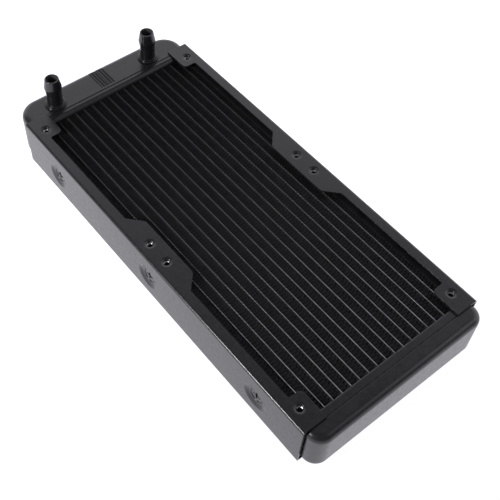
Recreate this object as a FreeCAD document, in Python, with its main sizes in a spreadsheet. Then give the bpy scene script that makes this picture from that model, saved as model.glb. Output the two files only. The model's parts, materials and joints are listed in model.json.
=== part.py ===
import FreeCAD
import Part
import os
import math
import Sketcher
from FreeCAD import Placement, Rotation, Vector

# Liquid cooling radiator for two 120 mm fans, lying flat with its hose barbs up.
# The frame's origin is the centre of the eight fan holes, in the bottom plane.
# +X runs along the radiator from the port tank to the end tank, and +Z out of the fan face.

doc = FreeCAD.newDocument("radiator")

# ---------------------------------------------------------------- driving dimensions, in mm
DIMENSIONS = [
    ("channel_length", 247.0),
    ("overall_width", 120.0),
    ("overall_depth", 32.0),
    ("sheet", 1.0),
    ("bend_radius", 1.5),
    ("flange_width", 6.4),
    ("ear_width", 14.5),
    ("end_ear_length", 18.0),
    ("mid_ear_base", 59.5),
    ("mid_ear_top", 42.0),
    ("ear_corner_radius", 3.0),
    ("notch_corner_radius", 1.2),
    ("fan_pitch", 120.0),
    ("fan_hole_spacing", 105.0),
    ("fan_hole_diameter", 3.5),
    ("fan_entry_rim", 3.0),
    ("fan_entry_slope", 20.0),
    ("fan_entry_outer_radius", 3.5),
    ("fan_entry_inner_radius", 0.9),
    ("fan_collar_diameter", 5.2),
    ("fan_collar_length", 2.0),
    ("screw_spacing", 90.0),
    ("press_diameter", 16.0),
    ("press_floor_diameter", 11.0),
    ("press_depth", 1.0),
    ("screw_head_diameter", 8.0),
    ("screw_head_rim", 0.2),
    ("screw_shank_diameter", 3.9),
    ("screw_length", 6.0),
    ("screw_tip_chamfer", 0.5),
    ("screw_sink", 0.35),
    ("recess_arm", 2.6),
    ("recess_half_width", 0.6),
    ("recess_depth", 1.1),
    ("countersink_depth", 2.6),
    ("nut_diameter", 7.2),
    ("nut_shank_diameter", 5.2),
    ("nut_chamfer", 0.4),
    ("thread_clearance", 0.05),
    ("side_plate_inner", 51.7),
    ("side_plate_sheet", 1.0),
    ("side_plate_leg", 3.6),
    ("tube_count", 17),
    ("tube_pitch", 5.956),
    ("tube_thickness", 1.2),
    ("tube_width", 25.8),
    ("tube_wall", 0.25),
    ("tube_stand_out", 1.5),
    ("core_port_end", -116.2),
    ("core_far_end", 118.6),
    ("fin_period", 2.1),
    ("fin_crest", 0.4),
    ("fin_sheet", 0.15),
    ("fin_recess", 0.4),
    ("header_sheet", 1.2),
    ("header_rim", 4.45),
    ("header_width", 115.6),
    ("header_height", 29.6),
    ("header_corner", 3.4),
    ("header_bend_port", 3.0),
    ("header_bend_end", 0.8),
    ("spigot_wall", 1.0),
    ("spigot_reach", 6.0),
    ("seam_gap", 0.35),
    ("tank_width", 116.0),
    ("tank_height", 30.0),
    ("tank_wall", 1.0),
    ("tank_edge_radius", 4.0),
    ("tank_lip_radius", 0.3),
    ("port_tank_depth", 19.5),
    ("port_tank_corner", 12.5),
    ("end_tank_depth", 9.3),
    ("end_tank_corner", 8.0),
    ("divider_sheet", 1.2),
    ("band_start", -6.0),
    ("band_pitch", 5.2),
    ("band_width", 4.9),
    ("band_depth", 1.5),
    ("band_setback", 1.6),
    ("band_backing", 1.2),
    ("barb_setback", 7.2),
    ("barb_centre", -1.5),
    ("barb_half_spacing", 34.5),
    ("barb_bore_radius", 3.5),
    ("barb_neck_radius", 4.8),
    ("barb_peak_radius", 5.35),
    ("barb_tip_radius", 4.25),
    ("barb_spigot_radius", 4.2),
    ("barb_spigot_reach", 1.4),
    ("barb_collar_radius", 6.4),
    ("barb_collar_height", 1.2),
    ("barb_step_radius", 5.7),
    ("barb_step_height", 2.2),
    ("barb_neck_height", 9.84),
    ("barb_peak_start", 14.04),
    ("barb_peak_end", 14.86),
    ("barb_height", 20.5),
    ("barb_tip_round", 0.35),
    ("barb_collar_round", 0.4),
]

sheet = doc.addObject("Spreadsheet::Sheet", "Sizes")
for row, (alias, size) in enumerate(DIMENSIONS, start=1):
    sheet.set(f"A{row}", alias)
    sheet.set(f"B{row}", str(size))
    sheet.setAlias(f"B{row}", alias)
doc.recompute()

# Places worked out from the driving dimensions, as sheet formulas.
S = "Sizes."
MID_HEIGHT = S + "overall_depth / 2"
HALF_WIDTH = S + "overall_width / 2"
OUTER_TUBE_Y = f"(({S}tube_count - 1) / 2 * {S}tube_pitch)"
FIN_GAP = f"({S}tube_pitch - {S}tube_thickness)"
OUTER_FIN_START = f"({OUTER_TUBE_Y} + {S}tube_thickness / 2)"
PRESS_FLOOR_Y = f"({HALF_WIDTH} - {S}press_depth)"
NUT_SEAT_Y = f"({PRESS_FLOOR_Y} - {S}sheet - {S}countersink_depth)"
TANK_TOP = f"({MID_HEIGHT} + {S}tank_height / 2)"
PORT_SEAM = f"({S}core_port_end - {S}header_rim - {S}seam_gap)"
FAR_SEAM = f"({S}core_far_end + {S}header_rim + {S}seam_gap)"
BARB_X = f"({PORT_SEAM} - {S}barb_setback)"
SCREW_HALF_SHANK = f"({S}screw_shank_diameter / 2)"
SEAT_RADIUS = (f"({S}screw_head_diameter / 2 + {S}screw_head_rim"
               f" + {S}screw_sink + {S}thread_clearance)")

# How local +Z is turned to point along the row's +Y, -Y or -Z, and a half turn about +Z.
Z_TO_PLUS_Y = Rotation(Vector(1, 0, 0), -90)
Z_TO_MINUS_Y = Rotation(Vector(1, 0, 0), 90)
Z_TO_MINUS_Z = Rotation(Vector(1, 0, 0), 180)
HALF_TURN = Rotation(Vector(0, 0, 1), 180)

# The outline across one ramp of the stamped band: how far along it, and how deep.
# It starts and ends a hair above the tank's top.
BAND_RAMP = [
    (0, -0.05),
    (0.14, 1),
    (0.33, 0.78),
    (0.45, 0.82),
    (0.67, 0.38),
    (0.79, 0.42),
    (1, -0.05),
]
NEAR = 1e-3


def value(formula):
    """The number that a sheet formula gives."""
    return float(sheet.evalExpression(formula))


# ---------------------------------------------------------------- sketch and feature helpers
def new_body(name):
    body = doc.addObject("PartDesign::Body", name)
    body.Label = name
    return body


def new_sketch(body, name, plane_role, lift=None):
    """An empty sketch on one of the body's own origin planes, lifted off it by a formula."""
    sketch = body.newObject("Sketcher::SketchObject", name)
    plane = next(item for item in body.Origin.OriginFeatures if item.Role == plane_role)
    sketch.AttachmentSupport = [(plane, "")]
    sketch.MapMode = "FlatFace"
    if lift is not None:
        sketch.setExpression("AttachmentOffset.Base.z", lift)
    return sketch


def bound(sketch, kind, arguments, formula):
    """Add one constraint whose size follows a sheet formula."""
    index = sketch.addConstraint(Sketcher.Constraint(kind, *arguments, value(formula)))
    sketch.setExpression(f"Constraints[{index}]", formula)


def add_polygon(sketch, corners):
    """A closed outline through corners, each a pair of sheet formulas."""
    first = sketch.GeometryCount
    points = [Vector(value(across), value(up), 0) for across, up in corners]
    count = len(points)
    for index in range(count):
        line = Part.LineSegment(points[index], points[(index + 1) % count])
        sketch.addGeometry(line, False)
    for index in range(count):
        following = first + (index + 1) % count
        sketch.addConstraint(Sketcher.Constraint("Coincident", first + index, 2, following, 1))
    for index, (across, up) in enumerate(corners):
        bound(sketch, "DistanceX", (-1, 1, first + index, 1), across)
        bound(sketch, "DistanceY", (-1, 1, first + index, 1), up)


def add_upright_slot(sketch, centre, half_height, radius):
    """An upright obround outline: two straight sides and two half-round ends."""
    first = sketch.GeometryCount
    middle = value(centre)
    rounding = value(radius)
    reach = value(half_height) - rounding
    ends = [(reach, 0, math.pi), (-reach, math.pi, 2 * math.pi)]
    for level, start, stop in ends:
        circle = Part.Circle(Vector(middle, level, 0), Vector(0, 0, 1), rounding)
        sketch.addGeometry(Part.ArcOfCircle(circle, start, stop), False)
    for side in (-1, 1):
        start = Vector(middle + side * rounding, side * reach, 0)
        stop = Vector(middle + side * rounding, -side * reach, 0)
        sketch.addGeometry(Part.LineSegment(start, stop), False)
    top, bottom, left, right = range(first, first + 4)
    joins = [(top, 2, left, 2), (left, 1, bottom, 1), (bottom, 2, right, 2), (right, 1, top, 1)]
    for join in joins:
        sketch.addConstraint(Sketcher.Constraint("Tangent", *join))
    sketch.addConstraint(Sketcher.Constraint("Vertical", left))
    for arc, sign in ((top, "+"), (bottom, "-")):
        bound(sketch, "DistanceX", (-1, 1, arc, 3), centre)
        bound(sketch, "DistanceY", (-1, 1, arc, 3), f"{sign}({half_height} - {radius})")
    bound(sketch, "Radius", (top,), radius)


def add_circle(sketch, across, up, radius):
    first = sketch.GeometryCount
    centre = Vector(value(across), value(up), 0)
    sketch.addGeometry(Part.Circle(centre, Vector(0, 0, 1), value(radius)), False)
    bound(sketch, "DistanceX", (-1, 1, first, 3), across)
    bound(sketch, "DistanceY", (-1, 1, first, 3), up)
    bound(sketch, "Radius", (first,), radius)


def pad(body, sketch, length, midplane=False):
    feature = body.newObject("PartDesign::Pad", sketch.Name + "_pad")
    feature.Profile = sketch
    feature.setExpression("Length", length)
    feature.Midplane = midplane


def pocket(body, sketch, length, reverse=False, midplane=False):
    """Cut a sketch into the body, and make sure that it removes something."""
    doc.recompute()
    before = body.Shape.Volume
    feature = body.newObject("PartDesign::Pocket", sketch.Name + "_pocket")
    feature.Profile = sketch
    feature.setExpression("Length", length)
    feature.Reversed = reverse
    feature.Midplane = midplane
    doc.recompute()
    if not body.Shape.Volume < before - NEAR:
        raise RuntimeError(f"{feature.Name} cuts nothing")
    return feature


def revolve(body, sketch):
    """Turn a sketch drawn on the XZ plane once round the body's own Z axis."""
    feature = body.newObject("PartDesign::Revolution", sketch.Name + "_turned")
    feature.Profile = sketch
    feature.ReferenceAxis = (sketch, ["V_Axis"])
    feature.Angle = 360


def fillet(body, radius, wanted):
    """Round the edges of the body's present shape that the function wanted picks."""
    doc.recompute()
    names = [f"Edge{n}" for n, edge in enumerate(body.Shape.Edges, start=1) if wanted(edge)]
    if not names:
        raise RuntimeError(f"{body.Name} has no such edge to round")
    base = body.Tip
    feature = body.newObject("PartDesign::Fillet", f"{body.Name}_round_{len(body.Group)}")
    feature.Base = (base, names)
    feature.setExpression("Radius", radius)
    doc.recompute()


def is_straight(edge, direction):
    """Whether an edge is a line along the given unit direction."""
    if edge.Curve.TypeId != "Part::GeomLine":
        return False
    return abs(abs(edge.Curve.Direction.dot(direction)) - 1) < NEAR


def cut(name, base, tool):
    result = doc.addObject("Part::Cut", name)
    result.Base = base
    result.Tool = tool
    return result


def gather(kind, name, members):
    """A Part::MultiFuse or Part::Compound of several objects."""
    result = doc.addObject(kind, name)
    if kind == "Part::MultiFuse":
        result.Shapes = members
    else:
        result.Links = members
    return result


def primitive(kind, name, sizes, place, turn=None):
    """A Part primitive with its sizes and the three parts of its position bound to formulas."""
    solid = doc.addObject(kind, name)
    if turn is not None:
        solid.Placement.Rotation = turn
    for prop, formula in sizes.items():
        solid.setExpression(prop, formula)
    for axis, formula in zip("xyz", place):
        solid.setExpression(f"Placement.Base.{axis}", formula)
    return solid


# ---------------------------------------------------------------- side channels
def channel_blank(name):
    """The bent C of the -Y channel, with its flanges notched to leave the three ears."""
    body = new_body(name)
    inner = f"-({HALF_WIDTH} - {S}ear_width)"
    outer = f"-{HALF_WIDTH}"
    web = f"-({HALF_WIDTH} - {S}sheet)"
    section = new_sketch(body, name + "_section", "YZ_Plane")
    add_polygon(section, [
        (inner, S + "overall_depth"),
        (outer, S + "overall_depth"),
        (outer, "0"),
        (inner, "0"),
        (inner, S + "sheet"),
        (web, S + "sheet"),
        (web, f"{S}overall_depth - {S}sheet"),
        (inner, f"{S}overall_depth - {S}sheet"),
    ])
    pad(body, section, S + "channel_length", midplane=True)

    def on_bend(edge, distance_in):
        middle = edge.BoundBox.Center
        wanted_y = -(value(HALF_WIDTH) - distance_in)
        levels = (distance_in, value(S + "overall_depth") - distance_in)
        at_level = any(abs(middle.z - level) < NEAR for level in levels)
        return is_straight(edge, Vector(1, 0, 0)) and abs(middle.y - wanted_y) < NEAR and at_level

    fillet(body, S + "bend_radius", lambda edge: on_bend(edge, 0))
    inside = value(S + "sheet")
    fillet(body, f"{S}bend_radius - {S}sheet", lambda edge: on_bend(edge, inside))

    notch_root = f"-({HALF_WIDTH} - {S}flange_width)"
    past_ears = f"-({HALF_WIDTH} - {S}ear_width - 1)"
    slope = f"({S}mid_ear_base - {S}mid_ear_top) / 2 / ({S}ear_width - {S}flange_width)"
    for side in (-1, 1):
        notch = new_sketch(body, f"{name}_notch_{'port' if side < 0 else 'far'}", "XY_Plane")
        add_polygon(notch, [
            (f"{side} * {S}mid_ear_base / 2", notch_root),
            (f"{side} * ({S}channel_length / 2 - {S}end_ear_length)", notch_root),
            (f"{side} * ({S}channel_length / 2 - {S}end_ear_length)", past_ears),
            (f"{side} * ({S}mid_ear_top / 2 - {slope})", past_ears),
        ])
        pocket(body, notch, S + "overall_depth * 3", midplane=True)

    def is_corner(edge, level, from_centre):
        middle = edge.BoundBox.Center
        upright = is_straight(edge, Vector(0, 0, 1))
        return upright and abs(middle.y - level) < NEAR and abs(middle.x) < from_centre

    short_of_end = value(S + "channel_length") / 2 - 1
    ear_edge = value(inner)
    fillet(body, S + "ear_corner_radius", lambda edge: is_corner(edge, ear_edge, short_of_end))
    root = value(notch_root)
    fillet(body, S + "notch_corner_radius", lambda edge: is_corner(edge, root, short_of_end))
    return body


def fan_hole_places():
    """X and Y formulas of the four fan holes in one flange of the -Y channel."""
    places = []
    for fan in (-1, 1):
        for hole in (-1, 1):
            across = f"{fan} * {S}fan_pitch / 2 + {hole} * {S}fan_hole_spacing / 2"
            places.append((across, f"-{S}fan_hole_spacing / 2"))
    return places


def fan_hole_tool():
    """What one fan hole removes: two tangent arcs roll its edge in, down to a straight bore.

    Local z = 0 is the flange's outer face, and the hole goes down from it. The first arc crosses
    that face at the small rim angle, and the arcs meet at the slope angle.
    """
    rim = math.radians(value(S + "fan_entry_rim"))
    slope = math.radians(value(S + "fan_entry_slope"))
    wide = value(S + "fan_entry_outer_radius")
    tight = value(S + "fan_entry_inner_radius")
    bore = value(S + "fan_hole_diameter") / 2
    wide_centre = Vector(bore + tight + (wide - tight) * math.sin(slope), 0, -wide * math.cos(rim))
    tight_centre = wide_centre - Vector(math.sin(slope), 0, -math.cos(slope)) * (wide - tight)

    def rolled(centre, radius, start, stop):
        points = []
        for angle in (start, (start + stop) / 2, stop):
            points.append(centre + Vector(-math.sin(angle), 0, math.cos(angle)) * radius)
        return Part.Arc(*points).toShape(), points[0], points[-1]

    outer_arc, mouth, _ = rolled(wide_centre, wide, 0, slope)
    inner_arc, _, throat = rolled(tight_centre, tight, slope, math.pi / 2)
    above = Vector(0, 0, value(S + "sheet"))
    bottom = -value(f"{S}sheet + {S}fan_collar_length")
    below = Part.makePolygon([throat, Vector(bore, 0, bottom), Vector(0, 0, bottom), above,
                              Vector(mouth.x, 0, above.z), mouth])
    outline = Part.Wire([outer_arc, inner_arc] + below.Edges)
    return Part.Face(outline).revolve(Vector(), Vector(0, 0, 1), 360)


def fan_hole(name, tool, place, turn):
    hole = doc.addObject("Part::Feature", name)
    hole.Shape = tool
    hole.Placement = Placement(Vector(*[value(formula) for formula in place]), turn)
    return hole


def seat_cone(name, across, level, wide, narrow, height):
    """A cone on the -Y channel's web that narrows inwards from the given level."""
    return primitive("Part::Cone", name, {"Radius1": wide, "Radius2": narrow, "Height": height},
                     (across, level, MID_HEIGHT), Z_TO_PLUS_Y)


def side_channel(name, turn):
    """A channel with rolled fan holes in both flanges and three pressed screw seats."""
    added = [channel_blank(name + "_blank")]
    removed = []
    tool = fan_hole_tool()
    faces = [("bottom", "0", S + "sheet", Z_TO_MINUS_Z),
             ("top", S + "overall_depth",
              f"{S}overall_depth - {S}sheet - {S}fan_collar_length", Rotation())]
    for index, (across, along) in enumerate(fan_hole_places()):
        for face, surface, collar_base, opening in faces:
            tag = f"{name}_fan_{index}_{face}"
            added.append(primitive(
                "Part::Cylinder", tag + "_collar",
                {"Radius": f"{S}fan_collar_diameter / 2", "Height": S + "fan_collar_length"},
                (across, along, collar_base)))
            removed.append(fan_hole(tag + "_hole", tool, (across, along, surface), opening))

    press = f"{S}press_diameter / 2"
    floor = f"{S}press_floor_diameter / 2"
    narrow = f"({SEAT_RADIUS} - {S}countersink_depth)"
    for index, step in enumerate((-1, 0, 1)):
        tag = f"{name}_seat_{index}"
        across = f"{step} * {S}screw_spacing"
        added.append(seat_cone(tag + "_boss", across, f"-({HALF_WIDTH} - {S}sheet)",
                               press, floor, S + "press_depth"))
        added.append(seat_cone(tag + "_cup", across, f"-({PRESS_FLOOR_Y} - {S}sheet)",
                               floor, f"{narrow} + {S}sheet", S + "countersink_depth"))
        removed.append(seat_cone(tag + "_press", across, "-" + HALF_WIDTH,
                                 press, floor, S + "press_depth"))
        removed.append(seat_cone(tag + "_countersink", across, "-" + PRESS_FLOOR_Y,
                                 SEAT_RADIUS, narrow, S + "countersink_depth"))
        removed.append(primitive(
            "Part::Cylinder", tag + "_hole",
            {"Radius": narrow, "Height": f"{S}countersink_depth + 2 * {S}sheet"},
            (across, "-" + PRESS_FLOOR_Y, MID_HEIGHT), Z_TO_PLUS_Y))
    formed = gather("Part::MultiFuse", name + "_formed", added)
    tools = gather("Part::MultiFuse", name + "_tools", removed)
    channel = cut(name, formed, tools)
    channel.Placement = Placement(Vector(), turn)
    return channel


# ---------------------------------------------------------------- screws, nuts and side plates
def channel_screw(name, across, side):
    """A countersunk cross-recess screw: its head's top is at local z = 0, its tip below."""
    body = new_body(name)
    head = f"{S}screw_head_diameter / 2"
    rim = S + "screw_head_rim"
    tip = S + "screw_tip_chamfer"
    profile = new_sketch(body, name + "_profile", "XZ_Plane")
    add_polygon(profile, [
        ("0", "0"),
        (head, "0"),
        (head, "-" + rim),
        (SCREW_HALF_SHANK, f"-{rim} - {head} + {SCREW_HALF_SHANK}"),
        (SCREW_HALF_SHANK, f"-{S}screw_length + {tip}"),
        (f"{SCREW_HALF_SHANK} - {tip}", f"-{S}screw_length"),
        ("0", f"-{S}screw_length"),
    ])
    revolve(body, profile)
    arm = S + "recess_arm"
    half = S + "recess_half_width"
    cross = new_sketch(body, name + "_cross", "XY_Plane")
    add_polygon(cross, [
        (arm, half), (half, half), (half, arm),
        ("-" + half, arm), ("-" + half, half), ("-" + arm, half),
        ("-" + arm, "-" + half), ("-" + half, "-" + half), ("-" + half, "-" + arm),
        (half, "-" + arm), (half, "-" + half), (arm, "-" + half),
    ])
    pocket(body, cross, S + "recess_depth")
    place_on_side(body, across, f"({PRESS_FLOOR_Y} - {S}screw_sink)", side)
    return body


def clinch_nut(name, across, side):
    """A round clinch nut: local z = 0 is the side plate's outer face, its shank goes below."""
    body = new_body(name)
    flange = f"{S}nut_diameter / 2"
    shank = f"{S}nut_shank_diameter / 2"
    bore = f"{SCREW_HALF_SHANK} + {S}thread_clearance"
    plate = S + "side_plate_sheet"
    stand_out = f"({NUT_SEAT_Y} - {S}side_plate_inner - {plate})"
    profile = new_sketch(body, name + "_profile", "XZ_Plane")
    add_polygon(profile, [
        (bore, "-" + plate),
        (shank, "-" + plate),
        (shank, "0"),
        (flange, "0"),
        (flange, f"{stand_out} - {S}nut_chamfer"),
        (f"{flange} - {S}nut_chamfer", stand_out),
        (bore, stand_out),
    ])
    revolve(body, profile)
    place_on_side(body, across, f"({S}side_plate_inner + {plate})", side)
    return body


def place_on_side(body, across, distance, side):
    """Stand a turned piece on one long side, with its local +Z pointing outwards."""
    body.Placement.Rotation = Z_TO_MINUS_Y if side < 0 else Z_TO_PLUS_Y
    body.setExpression("Placement.Base.x", across)
    body.setExpression("Placement.Base.y", f"{side} * {distance}")
    body.setExpression("Placement.Base.z", MID_HEIGHT)


def fastener_row(name, maker, side):
    """Three like fasteners along one long side, as one group of separate solids."""
    members = []
    for index, step in enumerate((-1, 0, 1), start=1):
        members.append(maker(f"{name}_{index}", f"{step} * {S}screw_spacing", side))
    return gather("Part::Compound", name, members)


def core_side_plate(name, side):
    """A folded plate that closes the fin stack on one side: local y = 0 is its inner face."""
    body = new_body(name)
    half_height = f"{S}tube_width / 2"
    plate = S + "side_plate_sheet"
    leg = S + "side_plate_leg"
    section = new_sketch(body, name + "_section", "YZ_Plane", lift=S + "core_port_end")
    add_polygon(section, [
        ("0", "-" + half_height),
        (leg, "-" + half_height),
        (leg, f"{plate} - {half_height}"),
        (plate, f"{plate} - {half_height}"),
        (plate, f"{half_height} - {plate}"),
        (leg, f"{half_height} - {plate}"),
        (leg, half_height),
        ("0", half_height),
    ])
    pad(body, section, f"{S}core_far_end - {S}core_port_end")
    holes = new_sketch(body, name + "_holes", "XZ_Plane")
    for step in (-1, 0, 1):
        add_circle(holes, f"{step} * {S}screw_spacing", "0", f"{S}nut_shank_diameter / 2")
    pocket(body, holes, plate + " * 3", midplane=True)
    body.Placement.Rotation = Z_TO_MINUS_Z if side < 0 else Rotation()
    body.setExpression("Placement.Base.y", f"{side} * {S}side_plate_inner")
    body.setExpression("Placement.Base.z", MID_HEIGHT)
    return body


# ---------------------------------------------------------------- tubes and fins
def coolant_tube(name, index):
    """One flat tube, open at both ends, that reaches through both header plates."""
    body = new_body(name)
    reach = f"{S}header_sheet + {S}tube_stand_out"
    start = f"{S}core_port_end - {reach}"
    section = new_sketch(body, name + "_section", "YZ_Plane", lift=start)
    half_height = f"{S}tube_width / 2"
    half_thick = f"{S}tube_thickness / 2"
    add_upright_slot(section, "0", half_height, half_thick)
    add_upright_slot(section, "0", f"({half_height} - {S}tube_wall)",
                     f"({half_thick} - {S}tube_wall)")
    pad(body, section, f"{S}core_far_end - {S}core_port_end + 2 * ({reach})")
    body.setExpression("Placement.Base.y", f"({index} - ({S}tube_count - 1) / 2) * {S}tube_pitch")
    body.setExpression("Placement.Base.z", MID_HEIGHT)
    return body


def folded_strip(gap):
    """A strip of sheet folded to and fro across a gap, which its local y = 0 is the middle of."""
    period = value(S + "fin_period")
    crest = value(S + "fin_crest")
    half_sheet = value(S + "fin_sheet") / 2
    amplitude = gap / 2 - half_sheet
    start = value(S + "core_port_end")
    room = value(S + "core_far_end") - start
    last_fold = period / 2 + crest
    folds = math.floor((room - last_fold) / period) + 1
    first = start + (room - (folds - 1) * period - last_fold) / 2
    turn = math.atan2(2 * amplitude, period / 2 - crest)
    miter = math.tan(turn / 2)
    upper = []
    lower = []
    for fold in range(folds):
        left = first + fold * period
        corners = [
            (left, -amplitude, 1),
            (left + crest, -amplitude, -1),
            (left + period / 2, amplitude, -1),
            (left + period / 2 + crest, amplitude, 1),
        ]
        for across, along, lean in corners:
            shift = Vector(lean * miter, 1, 0) * half_sheet
            upper.append(Vector(across, along, 0) + shift)
            lower.append(Vector(across, along, 0) - shift)
    outline = upper + lower[::-1] + upper[:1]
    depth = value(S + "tube_width") - 2 * value(S + "fin_recess")
    return Part.Face(Part.makePolygon(outline)).extrude(Vector(0, 0, depth))


def fin_strip(name, shape, along):
    strip = doc.addObject("Part::Feature", name)
    strip.Shape = shape
    base = value(f"{MID_HEIGHT} - {S}tube_width / 2 + {S}fin_recess")
    strip.Placement = Placement(Vector(0, along, base), Rotation())
    return strip


def fin_stack():
    """All the fin strips, from -Y to +Y. The first and last fill the narrower outer gaps."""
    count = int(value(S + "tube_count")) + 1
    inner_shape = folded_strip(value(FIN_GAP))
    outer_shape = folded_strip(value(f"{S}side_plate_inner - {OUTER_FIN_START}"))
    outer_along = value(f"({S}side_plate_inner + {OUTER_FIN_START}) / 2")
    places = [(index - (count - 1) / 2) * value(S + "tube_pitch") for index in range(count)]
    strips = []
    for index, along in enumerate(places):
        shape = inner_shape
        if index in (0, count - 1):
            shape = outer_shape
            along = math.copysign(outer_along, along)
        strips.append(fin_strip(f"fin_strip_{index + 1:02d}", shape, along))
    return strips


# ---------------------------------------------------------------- headers
def centred_rectangle(width, height):
    """The four corners of a rectangle about the sketch's origin."""
    return [
        (f"-{width} / 2", f"-{height} / 2"),
        (f"{width} / 2", f"-{height} / 2"),
        (f"{width} / 2", f"{height} / 2"),
        (f"-{width} / 2", f"{height} / 2"),
    ]


def header_plate(name, face_x, bend, turn):
    """A pressed tray: slotted plate at local x = 0, a rim, and a spigot for the tank's skirt."""
    body = new_body(name)
    spigot_width = f"({S}tank_width - 2 * {S}tank_wall)"
    spigot_height = f"({S}tank_height - 2 * {S}tank_wall)"

    def is_corner(edge, width):
        on_side = abs(abs(edge.BoundBox.Center.y) - value(width) / 2) < NEAR
        return on_side and is_straight(edge, Vector(1, 0, 0))

    def is_at_face(edge):
        return edge.BoundBox.XMax < NEAR

    spigot = new_sketch(body, name + "_spigot", "YZ_Plane")
    add_polygon(spigot, centred_rectangle(spigot_width, spigot_height))
    pad(body, spigot, S + "spigot_reach")
    fillet(body, f"{S}tank_edge_radius - {S}tank_wall", lambda edge: is_corner(edge, spigot_width))
    rim = new_sketch(body, name + "_rim", "YZ_Plane")
    add_polygon(rim, centred_rectangle(S + "header_width", S + "header_height"))
    pad(body, rim, S + "header_rim")
    fillet(body, S + "header_corner", lambda edge: is_corner(edge, S + "header_width"))
    fillet(body, bend, is_at_face)

    hollow = new_sketch(body, name + "_hollow", "YZ_Plane", lift=S + "spigot_reach")
    add_polygon(hollow, centred_rectangle(
        f"({spigot_width} - 2 * {S}spigot_wall)", f"({spigot_height} - 2 * {S}spigot_wall)"))
    pocket(body, hollow, f"{S}spigot_reach - {S}header_sheet")

    slot = new_sketch(body, name + "_slot", "YZ_Plane")
    add_upright_slot(slot, f"-{OUTER_TUBE_Y}", f"{S}tube_width / 2", f"{S}tube_thickness / 2")
    first_slot = pocket(body, slot, S + "header_sheet", reverse=True)
    slots = body.newObject("PartDesign::LinearPattern", name + "_slots")
    slots.Originals = [first_slot]
    slots.Direction = (slot, ["H_Axis"])
    slots.setExpression("Length", f"({S}tube_count - 1) * {S}tube_pitch")
    slots.setExpression("Occurrences", S + "tube_count")
    body.Tip = slots
    body.Placement.Rotation = turn
    body.setExpression("Placement.Base.x", face_x)
    body.setExpression("Placement.Base.z", MID_HEIGHT)
    return body


# ---------------------------------------------------------------- tanks
def in_plane_x(edge, level):
    """Whether an edge lies in the plane at one x."""
    box = edge.BoundBox
    return box.XLength < NEAR and abs(box.XMin - level) < NEAR


def tank_block(name, size, side, inset):
    """A block with the tank's outer form, drawn in by inset except at its open face."""
    seam, depth, corner = size
    body = new_body(name)
    end = f"({seam} + {side} * ({depth} - {inset}))"
    half_width = f"({S}tank_width / 2 - {inset})"
    plan = new_sketch(body, name + "_plan", "XY_Plane")
    add_polygon(plan, [
        (seam, "-" + half_width),
        (end, "-" + half_width),
        (end, half_width),
        (seam, half_width),
    ])
    pad(body, plan, f"{S}tank_height - 2 * {inset}", midplane=True)
    end_x = value(end)
    seam_x = value(seam)

    def at_end_corner(edge):
        return is_straight(edge, Vector(0, 0, 1)) and abs(edge.BoundBox.XMin - end_x) < NEAR

    def round_the_rim(edge):
        return edge.BoundBox.ZLength < NEAR and not in_plane_x(edge, seam_x)

    fillet(body, f"{corner} - {inset}", at_end_corner)
    fillet(body, f"{S}tank_edge_radius - {inset}", round_the_rim)
    body.setExpression("Placement.Base.z", MID_HEIGHT)
    return body


def hollow_tank(name, size, side):
    """The outer block of an open drawn cap, and the cavity that its wall leaves."""
    outer = tank_block(name + "_outer", size, side, "0")
    seam_x = value(size[0])
    fillet(outer, S + "tank_lip_radius", lambda edge: in_plane_x(edge, seam_x))
    cavity = tank_block(name + "_cavity", size, side, S + "tank_wall")
    return outer, cavity


def stamped_band():
    """What the stamping removes from the port tank's top: two saw-tooth ramps along X.

    It runs off the tank's back and stops short of its lip.
    """
    body = new_body("port_tank_band")
    back = f"({PORT_SEAM} - {S}port_tank_depth - {S}tank_wall)"
    corners = []
    for ramp in (0, 1):
        start = f"{S}band_start + {ramp} * {S}band_pitch"
        for share, drop in BAND_RAMP:
            corners.append((f"{start} + {share} * {S}band_width", f"-({drop}) * {S}band_depth"))
    corners.append((corners[-1][0], S + "tank_wall"))
    corners.append((corners[0][0], S + "tank_wall"))
    outline = new_sketch(body, "port_tank_band_outline", "YZ_Plane", lift=back)
    add_polygon(outline, corners)
    pad(body, outline, f"{PORT_SEAM} - {S}band_setback - {back}")
    body.setExpression("Placement.Base.z", TANK_TOP)
    return body


def ribbed_cavity(cavity, size):
    """The port tank's cavity less a rib inside the wall, under the band and round the divider."""
    start = f"({PORT_SEAM} - {S}port_tank_depth)"
    stop = f"({S}core_port_end - {S}spigot_reach)"
    slab = primitive(
        "Part::Box", "port_tank_rib_slab",
        {"Length": f"{stop} - {start}",
         "Width": f"{S}band_pitch + {S}band_width + 2 * {S}tank_wall",
         "Height": S + "tank_height"},
        (start, f"{S}band_start - {S}tank_wall", f"{TANK_TOP} - {S}tank_height"))
    inside = tank_block("port_tank_rib_inside", size, -1, f"({S}tank_wall + {S}band_backing)")
    rib = cut("port_tank_rib", slab, inside)
    return cut("port_tank_ribbed_cavity", cavity, rib)


def port_tank():
    """The deeper tank, with two barb holes and a stamped band over its divider."""
    name = "port_tank"
    size = (PORT_SEAM, S + "port_tank_depth", S + "port_tank_corner")
    outer, cavity = hollow_tank(name, size, -1)
    removed = [ribbed_cavity(cavity, size), stamped_band()]
    for tag, side in (("inlet", -1), ("outlet", 1)):
        removed.append(primitive(
            "Part::Cylinder", f"{name}_{tag}_hole",
            {"Radius": S + "barb_spigot_radius", "Height": S + "tank_wall * 3"},
            (BARB_X, f"{S}barb_centre + {side} * {S}barb_half_spacing",
             f"{TANK_TOP} - 2 * {S}tank_wall")))
    return cut(name, outer, gather("Part::MultiFuse", name + "_tools", removed))


def end_tank():
    """The shallow tank, where the coolant turns back."""
    size = (FAR_SEAM, S + "end_tank_depth", S + "end_tank_corner")
    outer, cavity = hollow_tank("end_tank", size, 1)
    return cut("end_tank", outer, cavity)


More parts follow.
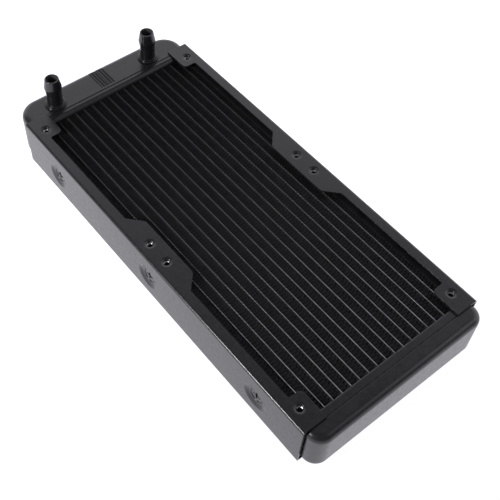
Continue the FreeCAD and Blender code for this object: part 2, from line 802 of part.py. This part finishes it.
def tank_divider():
    """The plate across the port tank that keeps the hot inlet from the cooled outlet."""
    name = "tank_divider"
    body = new_body(name)
    plate_x = f"({S}core_port_end - {S}header_sheet)"
    spigot_x = f"({S}core_port_end - {S}spigot_reach)"
    back_x = f"({PORT_SEAM} - {S}port_tank_depth + {S}tank_wall + {S}band_backing)"
    in_spigot = f"({S}tank_height / 2 - {S}tank_wall - {S}spigot_wall)"
    in_tank = f"({S}tank_height / 2 - {S}tank_wall - {S}band_backing)"
    outline = new_sketch(body, name + "_outline", "XZ_Plane")
    add_polygon(outline, [
        (plate_x, "-" + in_spigot),
        (plate_x, in_spigot),
        (spigot_x, in_spigot),
        (spigot_x, in_tank),
        (back_x, in_tank),
        (back_x, "-" + in_tank),
        (spigot_x, "-" + in_tank),
        (spigot_x, "-" + in_spigot),
    ])
    pad(body, outline, S + "divider_sheet", midplane=True)
    back = value(back_x)

    def at_back(edge):
        return is_straight(edge, Vector(0, 1, 0)) and abs(edge.BoundBox.XMin - back) < NEAR

    fillet(body, f"{S}tank_edge_radius - {S}tank_wall - {S}band_backing", at_back)
    body.setExpression("Placement.Base.y", f"-{S}tube_pitch / 2")
    body.setExpression("Placement.Base.z", MID_HEIGHT)
    return body


# ---------------------------------------------------------------- hose barbs
def hose_barb(name, side):
    """A turned hose barb: local z = 0 is the tank's top, where its collar sits."""
    body = new_body(name)
    bore = S + "barb_bore_radius"
    spigot = S + "barb_spigot_radius"
    spigot_end = f"-{S}tank_wall - {S}barb_spigot_reach"
    collar = S + "barb_collar_radius"
    step = S + "barb_step_radius"
    neck = S + "barb_neck_radius"
    profile = new_sketch(body, name + "_profile", "XZ_Plane")
    add_polygon(profile, [
        (bore, spigot_end),
        (spigot, spigot_end),
        (spigot, "0"),
        (collar, "0"),
        (collar, S + "barb_collar_height"),
        (step, S + "barb_collar_height"),
        (step, S + "barb_step_height"),
        (neck, S + "barb_step_height"),
        (neck, S + "barb_neck_height"),
        (S + "barb_peak_radius", S + "barb_peak_start"),
        (S + "barb_peak_radius", S + "barb_peak_end"),
        (S + "barb_tip_radius", S + "barb_height"),
        (bore, S + "barb_height"),
    ])
    revolve(body, profile)

    def round_ring(radius, level, rounding):
        height = value(level)
        reach = value(radius)

        def is_ring(edge):
            box = edge.BoundBox
            at_height = box.ZLength < NEAR and abs(box.ZMin - height) < NEAR
            return at_height and abs(box.XMax - reach) < NEAR

        fillet(body, rounding, is_ring)

    round_ring(S + "barb_tip_radius", S + "barb_height", S + "barb_tip_round")
    round_ring(collar, S + "barb_collar_height", S + "barb_collar_round")
    round_ring(step, S + "barb_step_height", S + "barb_collar_round")
    body.setExpression("Placement.Base.x", BARB_X)
    body.setExpression("Placement.Base.y", f"{S}barb_centre + {side} * {S}barb_half_spacing")
    body.setExpression("Placement.Base.z", TANK_TOP)
    return body


# ---------------------------------------------------------------- the whole radiator
def build():
    """Make every sub-part, and return them in order."""
    pieces = [
        side_channel("side_channel_left", Rotation()),
        side_channel("side_channel_right", HALF_TURN),
        port_tank(),
        end_tank(),
        tank_divider(),
        hose_barb("hose_barb_inlet", -1),
        hose_barb("hose_barb_outlet", 1),
        header_plate("header_plate_port", S + "core_port_end", S + "header_bend_port", HALF_TURN),
        header_plate("header_plate_end", S + "core_far_end", S + "header_bend_end", Rotation()),
    ]
    for hand, side in (("left", -1), ("right", 1)):
        pieces.append(core_side_plate(f"core_side_plate_{hand}", side))
        pieces.append(fastener_row(f"channel_screws_{hand}", channel_screw, side))
        pieces.append(fastener_row(f"clinch_nuts_{hand}", clinch_nut, side))
    for index in range(int(value(S + "tube_count"))):
        pieces.append(coolant_tube(f"coolant_tube_{index + 1:02d}", index))
    return pieces + fin_stack()


def check_and_export(pieces):
    """Refuse a failed feature or a bad shape, then write one STEP file for each sub-part."""
    for item in doc.Objects:
        if "Invalid" in item.State or "Error" in item.State:
            raise RuntimeError(f"{item.Name} is {item.State}")
    for piece in pieces:
        if piece.Shape.isNull() or not piece.Shape.isValid() or not piece.Shape.Solids:
            raise RuntimeError(f"{piece.Label} has a bad shape")
    os.makedirs("parts", exist_ok=True)
    for piece in pieces:
        piece.Shape.exportStep(f"parts/{piece.Label}.step")
        solids = piece.Shape.Solids
        print(f"{piece.Label}: {len(solids)} solid(s), {piece.Shape.Volume:.1f} mm3")


radiator = build()
doc.recompute()
check_and_export(radiator)
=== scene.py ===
import json
import math
import random

import bpy
from mathutils import Matrix, Vector


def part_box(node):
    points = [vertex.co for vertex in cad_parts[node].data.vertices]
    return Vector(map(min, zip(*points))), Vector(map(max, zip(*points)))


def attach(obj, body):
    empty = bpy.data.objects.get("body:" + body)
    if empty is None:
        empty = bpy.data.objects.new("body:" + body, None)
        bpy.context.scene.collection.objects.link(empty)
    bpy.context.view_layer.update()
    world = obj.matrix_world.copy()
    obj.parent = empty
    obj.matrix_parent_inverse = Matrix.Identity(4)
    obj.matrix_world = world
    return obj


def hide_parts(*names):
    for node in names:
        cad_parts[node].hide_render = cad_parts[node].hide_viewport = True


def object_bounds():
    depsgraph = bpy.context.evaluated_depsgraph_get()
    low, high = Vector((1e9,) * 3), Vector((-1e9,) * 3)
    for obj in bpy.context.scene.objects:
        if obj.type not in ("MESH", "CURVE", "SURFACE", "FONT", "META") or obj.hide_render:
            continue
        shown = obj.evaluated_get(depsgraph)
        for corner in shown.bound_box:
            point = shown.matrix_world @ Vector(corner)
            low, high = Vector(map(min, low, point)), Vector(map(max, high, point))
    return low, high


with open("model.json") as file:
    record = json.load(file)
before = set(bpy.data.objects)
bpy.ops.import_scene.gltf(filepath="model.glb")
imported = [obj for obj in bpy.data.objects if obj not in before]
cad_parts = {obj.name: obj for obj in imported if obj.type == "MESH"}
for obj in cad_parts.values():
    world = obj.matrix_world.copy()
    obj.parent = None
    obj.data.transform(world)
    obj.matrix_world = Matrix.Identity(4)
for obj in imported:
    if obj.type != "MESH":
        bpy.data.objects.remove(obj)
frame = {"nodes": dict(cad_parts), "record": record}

cad_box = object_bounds()
nodes = frame["nodes"]
mounts = {mount["name"]: mount for mount in frame["record"]["mounts"]}
MM = 0.001
FOLD_PERIOD = 2.1 * MM


# ---------------------------------------------------------------- camera
AZIMUTH = math.radians(50.92)
ELEVATION = math.radians(52.85)
ROLL = math.radians(1.37)
TARGET = Vector((-9.0, -15.0, 16.0)) * MM
DISTANCE = 488.4 * MM
NEAREST_SEEN = 10 * MM
LENS = 62.0
SENSOR_WIDTH = 36.0
FRAME_SHIFT = (0.094, -0.048)


def make_camera():
    """A camera high over one corner of the radiator, a little off centre and a little rolled."""
    back = Vector((math.sin(AZIMUTH) * math.cos(ELEVATION),
                   -math.cos(AZIMUTH) * math.cos(ELEVATION),
                   math.sin(ELEVATION)))
    level_right = Vector((0, 0, 1)).cross(back).normalized()
    level_up = back.cross(level_right)
    right = level_right * math.cos(ROLL) + level_up * math.sin(ROLL)
    up = level_up * math.cos(ROLL) - level_right * math.sin(ROLL)
    data = bpy.data.cameras.new("camera")
    data.lens = LENS
    data.sensor_width = SENSOR_WIDTH
    data.shift_x, data.shift_y = FRAME_SHIFT
    data.clip_start = NEAREST_SEEN
    camera = bpy.data.objects.new("camera", data)
    axes = Matrix((right, up, back)).transposed().to_4x4()
    camera.matrix_world = Matrix.Translation(TARGET + back * DISTANCE) @ axes
    bpy.context.collection.objects.link(camera)
    bpy.context.scene.camera = camera


make_camera()


# ---------------------------------------------------------------- shader helpers
# A Mix node has sockets of the same name for each kind of data, so its colours go by number.
MIX_FACTOR, MIX_FIRST, MIX_SECOND, MIX_RESULT = 0, 6, 7, 2
MIDDLE_OF_NOISE = (0.3, 0.7)
BEVEL_SAMPLES = 6
HOLLOW_SAMPLES = 8
# The cosine between the rounded normal and the face's own, on a sharp edge and on a flat face.
EDGE_COSINES = (0.75, 0.98)
# How much of the space around it a point sees, in a deep groove and on an open face.
OPEN_SHARES = (0.35, 0.9)
BORE_BLUR = 1.03


class Shader:
    """Short names for making and joining the nodes of one material or world."""

    def __init__(self, tree, coordinate):
        self.tree = tree
        self.place = self.add("ShaderNodeTexCoord").outputs[coordinate]

    def feed(self, source, target):
        """Give an input a number, a tuple or another node's output."""
        if isinstance(source, (int, float)):
            target.default_value = source
        elif isinstance(source, tuple):
            target.default_value = (*source, 1.0)[:len(target.default_value)]
        else:
            self.tree.links.new(source, target)

    def add(self, kind, inputs=None, **settings):
        """Make a node, with what its inputs take and with its own settings."""
        node = self.tree.nodes.new(kind)
        for key, setting in settings.items():
            setattr(node, key, setting)
        for key, source in (inputs or {}).items():
            self.feed(source, node.inputs[key])
        return node

    def maths(self, operation, first, second):
        return self.add("ShaderNodeMath", {0: first, 1: second}, operation=operation).outputs[0]

    def vector_maths(self, operation, first, second, result="Value"):
        node = self.add("ShaderNodeVectorMath", {0: first, 1: second}, operation=operation)
        return node.outputs[result]

    def part(self, vector, axis):
        """One of a vector's three parts."""
        return self.add("ShaderNodeSeparateXYZ", {0: vector}).outputs[axis]

    def spread(self, source, low, high, start=MIDDLE_OF_NOISE[0], stop=MIDDLE_OF_NOISE[1],
               curve="LINEAR"):
        """Map a value from start..stop to low..high."""
        ends = {"Value": source, "From Min": start, "From Max": stop, "To Min": low, "To Max": high}
        return self.add("ShaderNodeMapRange", ends, interpolation_type=curve).outputs["Result"]

    def blend(self, factor, first, second):
        """Mix two colours."""
        sources = {MIX_FACTOR: factor, MIX_FIRST: first, MIX_SECOND: second}
        return self.add("ShaderNodeMix", sources, data_type="RGBA").outputs[MIX_RESULT]


class Finish(Shader):
    """The shader of a new material, with places measured in the frame of the CAD."""

    def __init__(self, name):
        self.material = bpy.data.materials.new(name)
        self.material.use_nodes = True
        super().__init__(self.material.node_tree, "Object")
        self.surface = self.tree.nodes["Principled BSDF"]

    def set(self, name, source):
        """Give an input of the surface a value or another node's output."""
        self.feed(source, self.surface.inputs[name])

    def noise(self, size_mm, detail=3.0):
        """Fractal noise whose cells are about size_mm across, from 0 to 1."""
        inputs = {"Vector": self.place, "Scale": 1.0 / (size_mm * MM), "Detail": detail}
        return self.add("ShaderNodeTexNoise", inputs).outputs["Fac"]

    def normal(self):
        return self.add("ShaderNodeNewGeometry").outputs["Normal"]

    def rounded(self, radius_mm):
        """The normal, as if the mesh's edges were rounded."""
        bevel = self.add("ShaderNodeBevel", {"Radius": radius_mm * MM}, samples=BEVEL_SAMPLES)
        return bevel.outputs["Normal"]

    def edge(self, radius_mm):
        """1 on sharp edges, and 0 on flat faces."""
        straightness = self.vector_maths("DOT_PRODUCT", self.rounded(radius_mm), self.normal())
        return self.spread(straightness, 1.0, 0.0, *EDGE_COSINES)

    def shade_in_hollows(self, reach_mm):
        """0 on open faces, and near 1 in grooves and corners narrower than the reach: a mask for
        painted shade.
        """
        openness = self.add("ShaderNodeAmbientOcclusion", {"Distance": reach_mm * MM},
                            samples=HOLLOW_SAMPLES)
        return self.spread(openness.outputs["AO"], 1.0, 0.0, *OPEN_SHARES)

    def facing_up(self, start, stop):
        """From 0 to 1 as a face's upward lean goes from start to stop."""
        return self.spread(self.part(self.normal(), "Z"), 0.0, 1.0, start, stop)

    def along(self, axis, start, stop):
        """From 0 to 1 as the position along an axis goes from start to stop, in mm."""
        return self.spread(self.part(self.place, axis), 0.0, 1.0, start * MM, stop * MM)

    def ripple(self, period):
        """A wave along X from -1 to 1, with its period in metres."""
        turns = self.maths("MULTIPLY", self.part(self.place, "X"), 2 * math.pi / period)
        return self.maths("SINE", turns, 0)

    def inside(self, x, y, radius):
        """1 within an upright cylinder, and 0 outside it."""
        level = self.vector_maths("MULTIPLY", self.place, (1, 1, 0), result="Vector")
        apart = self.vector_maths("DISTANCE", level, (x, y, 0))
        return self.spread(apart, 1.0, 0.0, radius, radius * BORE_BLUR)

    def all_of(self, *shares):
        """Several values from 0 to 1, multiplied together."""
        product = shares[0]
        for share in shares[1:]:
            product = self.maths("MULTIPLY", product, share)
        return product

    def bump(self, *heights, normal=None):
        """Stack bumps, each a (height, depth in mm) pair, over a normal."""
        for height, depth_mm in heights:
            inputs = {"Height": height, "Distance": depth_mm * MM, "Strength": 1.0}
            if normal is not None:
                inputs["Normal"] = normal
            normal = self.add("ShaderNodeBump", inputs).outputs["Normal"]
        self.set("Normal", normal)


# ---------------------------------------------------------------- materials
PAINT_IOR = 1.52
PAINT_ROUNDING_MM = 0.25
PAINT_SPECULAR = 0.5
CLOUD_GAIN = 1.35
SPECK_GAIN = 2.4
SPECK_SHARE = 0.3
SPECK_GRAIN = (0.62, 0.78)
# Painted shade in grooves: the coat's specular level deep in them, and how far a groove reaches.
GROOVE_SHADE_SPECULAR = 0.08
GROOVE_SHADE_REACH_MM = 1.5
EDGE_REACH_MM = 0.22
# How much of the lighter colour the edges get: part wear, part a painted highlight.
EDGE_WEAR_AND_HIGHLIGHT = 0.6
EDGE_POLISH = 0.06

# Where along X the painted highlight on the tubes' noses starts and is full, then where it starts
# to run on between the folds and runs unbroken: it grows towards the end tank, painted light that
# falls off towards the port tank.
NOSE_HIGHLIGHT_MM = (-122, 40)
NOSE_HIGHLIGHT_UNBROKEN_MM = (20, 105)
TUBE_REACH_MM = 50
TOP_OF_NOSE = (0.988, 0.999)
TUBE_SPECULAR = 0.12
NOSE_HIGHLIGHT_METAL = (0.95, 0.95, 0.96)

# Where along X the painted highlight on the fins' upper cut edges starts and is full: painted light
# that falls off towards the port tank.
CUT_EDGE_HIGHLIGHT_MM = (-125, 20)
CUT_EDGE_HIGHLIGHT_METAL = (0.13, 0.13, 0.135)
UPPER_FACES = (0.8, 0.9)
FIN_SPECULAR = 0.3


def scaled(colour, factor):
    return tuple(channel * factor for channel in colour)


def powder_coat(name, base, wear_and_sheen, gloss, bores=()):
    """Satin black coat: fine grain, orange peel, shinier on edges, and painted shade in grooves.

    Its edges are painted lighter, part wear and part a painted highlight along every edge. Inside
    any given upright bores, each an (x, y, radius) in metres, it is painted lighter grey: a painted
    sheen for the light on the bores' walls.
    """
    m = Finish(name)
    cloud = m.noise(9.0, detail=4.0)
    grain = m.noise(0.28, detail=2.0)
    orange_peel = m.noise(1.6, detail=1.0)
    tone = m.blend(m.spread(cloud, 0.0, 1.0), base, scaled(base, CLOUD_GAIN))
    speck = m.blend(m.spread(grain, 0.0, SPECK_SHARE, *SPECK_GRAIN), tone, scaled(base, SPECK_GAIN))
    edges = m.edge(EDGE_REACH_MM)
    # Painted highlight: the edges are painted lighter, part wear and part a highlight along each
    # edge.
    coat = m.blend(m.maths("MULTIPLY", edges, EDGE_WEAR_AND_HIGHLIGHT), speck, wear_and_sheen)
    # Painted sheen: inside the bores the coat is painted lighter grey, for the light on their
    # walls.
    for x, y, radius in bores:
        coat = m.blend(m.inside(x, y, radius), coat, wear_and_sheen)
    rough = m.spread(m.noise(2.5), gloss - 0.04, gloss + 0.05)
    m.set("Base Color", coat)
    m.set("Roughness", m.maths("SUBTRACT", rough, m.maths("MULTIPLY", edges, EDGE_POLISH)))
    m.set("IOR", PAINT_IOR)
    # Painted shade: the specular level drops in grooves and corners, the less of the room they see.
    m.set("Specular IOR Level",
          m.spread(m.shade_in_hollows(GROOVE_SHADE_REACH_MM), PAINT_SPECULAR, GROOVE_SHADE_SPECULAR, 0.0, 1.0))
    m.bump((grain, 0.0012), (orange_peel, 0.0025), normal=m.rounded(PAINT_ROUNDING_MM))
    return m.material


def core_coat():
    """The thin coat on the flat tubes, with a painted highlight of bright metal along the tops of
    their noses, dashed between the folds.

    The painted highlight fades out towards the port tank and is full towards the end tank, painted
    light fall-off; the side plates get none.
    """
    m = Finish("core_coat")
    cloud = m.noise(6.0, detail=4.0)
    tone = m.blend(m.spread(cloud, 0.0, 1.0), (0.006, 0.006, 0.007), (0.012, 0.012, 0.013))
    between_folds = m.spread(m.ripple(FOLD_PERIOD), 0.0, 1.0, -0.3, 0.3)
    # Painted highlight: bright metal along the tops of the tube noses, dashed between the folds and
    # fading towards the port tank.
    nose_highlight = m.all_of(m.facing_up(*TOP_OF_NOSE),
                      m.spread(m.noise(1.4), 0.4, 1.0),
                      m.maths("MAXIMUM", between_folds, m.along("X", *NOSE_HIGHLIGHT_UNBROKEN_MM)),
                      m.along("X", *NOSE_HIGHLIGHT_MM),
                      m.along("Y", TUBE_REACH_MM + 1, TUBE_REACH_MM),
                      m.along("Y", -TUBE_REACH_MM - 1, -TUBE_REACH_MM))
    m.set("Base Color", m.blend(nose_highlight, tone, NOSE_HIGHLIGHT_METAL))
    m.set("Metallic", m.maths("MULTIPLY", nose_highlight, 0.95))
    m.set("Roughness", m.spread(m.noise(1.2), 0.5, 0.62))
    m.set("Specular IOR Level", TUBE_SPECULAR)
    m.bump((m.noise(0.35, detail=2.0), 0.004), normal=m.rounded(0.15))
    return m.material


def fin_coat():
    """Matt black coat on the folded sheet, with a painted highlight of grey metal on its upper cut
    edges.
    """
    m = Finish("fin_coat")
    patch = m.noise(3.5, detail=4.0)
    grain = m.noise(0.3, detail=2.0)
    tone = m.blend(m.spread(patch, 0.0, 1.0), (0.004, 0.004, 0.005), (0.01, 0.01, 0.011))
    # Painted highlight: grey metal in patches on the upper cut edges, fading towards the port tank.
    cut_edge_highlight = m.all_of(m.facing_up(*UPPER_FACES), m.spread(patch, 0.6, 1.0),
                        m.along("X", *CUT_EDGE_HIGHLIGHT_MM))
    m.set("Base Color", m.blend(cut_edge_highlight, tone, CUT_EDGE_HIGHLIGHT_METAL))
    m.set("Metallic", m.maths("MULTIPLY", cut_edge_highlight, 0.6))
    m.set("Roughness", m.spread(grain, 0.6, 0.75))
    m.set("Specular IOR Level", FIN_SPECULAR)
    m.bump((grain, 0.006))
    return m.material


def metal(name, base, gloss):
    """Bare metal, mottled and a little stained."""
    m = Finish(name)
    stain = m.noise(2.0, detail=4.0)
    m.set("Base Color", m.blend(m.spread(stain, 0.0, 1.0), base, scaled(base, 0.7)))
    m.set("Metallic", 1.0)
    m.set("Roughness", m.spread(m.noise(0.4), gloss - 0.06, gloss + 0.08))
    m.bump((m.noise(0.25), 0.003), normal=m.rounded(0.1))
    return m.material


BARB_BORES = [(*mounts[name]["pos_m"][:2], mounts[name]["dims"]["r_mm"] * MM)
              for name in ("inlet_bore", "outlet_bore")]
# The second colour of each coat goes on its edges, part wear and part a painted highlight, and in
# the barbs' bores as a painted sheen.
MATERIALS = {
    "powder_coat": powder_coat("powder_coat", (0.0072, 0.0074, 0.0085), (0.05, 0.051, 0.055), 0.27),
    "barb_coat": powder_coat("barb_coat", (0.008, 0.0083, 0.0095), (0.06, 0.061, 0.065), 0.19,
                             bores=BARB_BORES),
    "core_coat": core_coat(),
    "fin_coat": fin_coat(),
    "bare_aluminium": metal("bare_aluminium", (0.75, 0.76, 0.78), 0.38),
    "screw_steel": powder_coat("screw_steel", (0.02, 0.02, 0.021), (0.09, 0.09, 0.095), 0.3),
    "nut_steel": metal("nut_steel", (0.6, 0.61, 0.63), 0.32),
}


def dress_cad_nodes():
    """Give every CAD node the material of its slot in the record."""
    for row in frame["record"]["subparts"]:
        mesh = nodes[row["node"]].data
        mesh.materials.clear()
        mesh.materials.append(MATERIALS[row["material_slot"]])


dress_cad_nodes()


# ---------------------------------------------------------------- mesh helpers
def make_piece(name, vertices, faces, material, smooth=True):
    """A closed mesh piece that rides on the radiator."""
    mesh = bpy.data.meshes.new(name)
    mesh.from_pydata(vertices, [], faces)
    mesh.validate()
    mesh.materials.append(material)
    if smooth:
        mesh.shade_smooth()
    piece = bpy.data.objects.new(name, mesh)
    bpy.context.collection.objects.link(piece)
    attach(piece, "root")
    return piece


# ---------------------------------------------------------------- folded fins
FIN_SHEET = 0.11 * MM
POINTS_PER_FOLD = 14
FOLD_STEEPNESS = 2.3
MOST_LEAN = 0.03
FOLD_SEED = 7
SHARP_ANGLE = math.radians(50)


def fold_line(low, high, rng):
    """The middle line of a folded strip seen from above, from one end of its box to the other."""
    middle = (low.y + high.y) / 2
    reach = (high.y - low.y) / 2 - FIN_SHEET / 2
    folds = round((high.x - low.x) / FOLD_PERIOD)
    period = (high.x - low.x) / folds
    points = []
    for fold in range(folds):
        start = low.x + fold * period
        lean = rng.uniform(-MOST_LEAN, MOST_LEAN) * period
        for step in range(POINTS_PER_FOLD):
            phase = 2 * math.pi * step / POINTS_PER_FOLD
            wave = math.tanh(FOLD_STEEPNESS * math.sin(phase - math.pi / 2))
            along = wave / math.tanh(FOLD_STEEPNESS)
            shift = lean * math.sin(phase / 2) ** 2
            points.append(Vector((start + period * step / POINTS_PER_FOLD + shift,
                                  middle + reach * along, 0)))
    points.append(Vector((high.x, middle - reach, 0)))
    return points


def thick_line(points, thickness):
    """The two sides of a line of points, given a thickness."""
    left = []
    right = []
    last = len(points) - 1
    for index, point in enumerate(points):
        before = points[max(index - 1, 0)]
        after = points[min(index + 1, last)]
        heading = (after - before).normalized()
        side = Vector((-heading.y, heading.x, 0)) * thickness / 2
        left.append(point + side)
        right.append(point - side)
    return left, right


def folded_fin(node, rng):
    """Replace one CAD fin strip with a strip whose crests are rounded and a little uneven."""
    low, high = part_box(node)
    left, right = thick_line(fold_line(low, high, rng), FIN_SHEET)
    count = len(left)
    vertices = []
    for level in (low.z, high.z):
        for point in left + right:
            vertices.append((min(max(point.x, low.x), high.x),
                             min(max(point.y, low.y), high.y), level))
    faces = []
    top = 2 * count
    for index in range(count - 1):
        after = index + 1
        faces.append((index, after, top + after, top + index))
        faces.append((count + after, count + index, top + count + index, top + count + after))
        faces.append((after, index, count + index, count + after))
        faces.append((top + index, top + after, top + count + after, top + count + index))
    last = count - 1
    faces.append((count, 0, top, top + count))
    faces.append((last, count + last, top + count + last, top + last))
    piece = make_piece(node.replace("fin_strip", "folded_fin"), vertices, faces,
                       MATERIALS["fin_coat"])
    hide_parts(node)
    piece.data.set_sharp_from_angle(angle=SHARP_ANGLE)


def all_fins():
    rng = random.Random(FOLD_SEED)
    for node in sorted(name for name in nodes if name.startswith("fin_strip")):
        folded_fin(node, rng)


all_fins()


# ---------------------------------------------------------------- threads in the fan holes
THREAD_PITCH = 0.79 * MM
THREAD_DEPTH = 0.33 * MM
THREAD_LENGTH = 1.6 * MM
ROOT_SHARE = 0.84
CREST_SHARE = 0.2
STEPS_PER_TURN = 28
FADE_STEPS = 6
FAN_MOUNTS = ("fan_port_top", "fan_end_top", "fan_port_bottom", "fan_end_bottom")


def thread_ridge(centre, radius, inward, vertices, faces):
    """Add one hole's thread: a ridge that winds from the bore's mouth towards the core."""
    steps = int(THREAD_LENGTH / THREAD_PITCH * STEPS_PER_TURN)
    half = THREAD_PITCH * ROOT_SHARE / 2
    first = len(vertices)
    for step in range(steps + 1):
        angle = 2 * math.pi * step / STEPS_PER_TURN
        level = centre.z + inward * (half + THREAD_PITCH * step / STEPS_PER_TURN)
        fade = min(1.0, step / FADE_STEPS, (steps - step) / FADE_STEPS)
        crest = radius - THREAD_DEPTH * fade
        outline = [(radius, -half), (crest, -half * CREST_SHARE), (crest, half * CREST_SHARE),
                   (radius, half)]
        for reach, lift in outline:
            vertices.append((centre.x + reach * math.cos(angle),
                             centre.y + reach * math.sin(angle), level + lift))
    wide = len(outline)
    for step in range(steps):
        base = first + step * wide
        for corner in range(wide):
            after = (corner + 1) % wide
            faces.append((base + corner, base + after, base + wide + after, base + wide + corner))
    end = first + steps * wide
    faces.append((first + 3, first + 2, first + 1, first))
    faces.append((end, end + 1, end + 2, end + 3))


def fan_hole_threads():
    """The bare, dark threads of all the fan holes, in one piece for each side channel."""
    thread_metal = metal("thread_metal", (0.42, 0.42, 0.43), 0.26)
    for hand, side in (("left", -1), ("right", 1)):
        vertices = []
        faces = []
        for name in FAN_MOUNTS:
            mount = mounts[name]
            sizes = mount["dims"]
            middle = Vector(mount["pos_m"])
            for end in (-1, 1):
                offset = Vector((end * sizes["spacing_x_mm"], side * sizes["spacing_y_mm"], 0)) / 2
                thread_ridge(middle + offset * MM, sizes["hole_r_mm"] * MM, -mount["axis"][2],
                             vertices, faces)
        make_piece(f"fan_hole_threads_{hand}", vertices, faces,
                   thread_metal, smooth=False)


fan_hole_threads()


# ---------------------------------------------------------------- studio
FLOOR_REACH = 40.0
FLOOR_GAP = 0.02 * MM
FLOOR_SHADE = 0.08
FLOOR_TINT = (1.0, 0.99, 1.06)
FLOOR_LIGHT_AT_PORTS = 1.3
FLOOR_LIGHT_AT_END = 0.98
FLOOR_FADE_MM = 130


def make_floor():
    """A plain pale floor just under the radiator, lit to white as on a light table."""
    level = cad_box[0].z - FLOOR_GAP
    mesh = bpy.data.meshes.new("floor")
    corners = [(-1, -1), (1, -1), (1, 1), (-1, 1)]
    vertices = [(x * FLOOR_REACH, y * FLOOR_REACH, level) for x, y in corners]
    mesh.from_pydata(vertices, [], [(0, 1, 2, 3)])
    floor = bpy.data.objects.new("floor", mesh)
    bpy.context.collection.objects.link(floor)
    m = Finish("floor")
    m.set("Base Color", (FLOOR_SHADE, FLOOR_SHADE, FLOOR_SHADE))
    m.set("Roughness", 0.9)
    m.set("Emission Color", FLOOR_TINT)
    towards_end = m.along("X", -FLOOR_FADE_MM, FLOOR_FADE_MM)
    m.set("Emission Strength",
          m.spread(towards_end, FLOOR_LIGHT_AT_PORTS, FLOOR_LIGHT_AT_END, 0.0, 1.0))
    mesh.materials.append(m.material)


# How bright the studio's lit side is, from straight ahead (0) to straight up (1).
SKY_FALL = [(0.0, 1.45), (0.64, 1.45), (0.7, 1.25), (0.743, 0.87), (0.783, 0.66), (0.814, 0.42),
            (0.866, 0.27), (0.891, 0.2), (1.0, 0.1)]
SKY_STRENGTH = 1.6
SKY_REST = 0.24
SKY_TINT = (0.97, 0.965, 1.03)
LIT_SIDE = (-0.55, 0.83, 0.0)
LIT_SIDE_EDGE = (-0.1, 0.5)
CARD_DIRECTION = (0.454, 0.541, 0.707)
CARD_EDGE = (0.955, 0.99)
CARD_LIGHT = 0.75


def make_world():
    """A dim room, lit from behind by a wide glow that falls off upwards, and by one soft card."""
    world = bpy.data.worlds.new("world")
    bpy.context.scene.world = world
    world.use_nodes = True
    w = Shader(world.node_tree, "Generated")

    def toward(direction, start, stop):
        """A smooth 0 to 1 as the view turns towards a direction."""
        turned = w.vector_maths("DOT_PRODUCT", w.place, direction)
        return w.spread(turned, 0.0, 1.0, start, stop, curve="SMOOTHSTEP")

    fall = w.add("ShaderNodeValToRGB", {"Fac": w.part(w.place, "Z")})
    stops = fall.color_ramp.elements
    for height, _ in SKY_FALL[1:-1]:
        stops.new(height)
    for stop, (_, light) in zip(stops, SKY_FALL):
        level = light / SKY_STRENGTH
        stop.color = (level, level, level, 1)
    above_rest = w.maths("SUBTRACT", fall.outputs["Color"], SKY_REST / SKY_STRENGTH)
    glow = w.maths("MULTIPLY", above_rest, toward(LIT_SIDE, *LIT_SIDE_EDGE))
    card = w.maths("MULTIPLY", toward(CARD_DIRECTION, *CARD_EDGE), CARD_LIGHT / SKY_STRENGTH)
    light = w.maths("ADD", w.maths("ADD", glow, card), SKY_REST / SKY_STRENGTH)
    background = w.tree.nodes["Background"]
    w.feed(SKY_TINT, background.inputs["Color"])
    w.feed(w.maths("MULTIPLY", light, SKY_STRENGTH), background.inputs["Strength"])


KEY_PLACE = Vector((-0.09, -0.57, 0.30))
KEY_AIM = Vector((0.06, -0.05, 0.03))
KEY_SIZE = (0.17, 0.1)
KEY_POWER = 3.2


def make_key_light():
    """A small softbox on the -Y side, for the highlights along the channel's bend and the barbs."""
    data = bpy.data.lights.new("key", "AREA")
    data.shape = "RECTANGLE"
    data.size, data.size_y = KEY_SIZE
    data.energy = KEY_POWER
    light = bpy.data.objects.new("key", data)
    light.location = KEY_PLACE
    light.rotation_euler = (KEY_AIM - KEY_PLACE).to_track_quat("-Z", "Y").to_euler()
    bpy.context.collection.objects.link(light)


make_floor()
make_world()
make_key_light()
bpy.context.scene.view_settings.view_transform = "Standard"
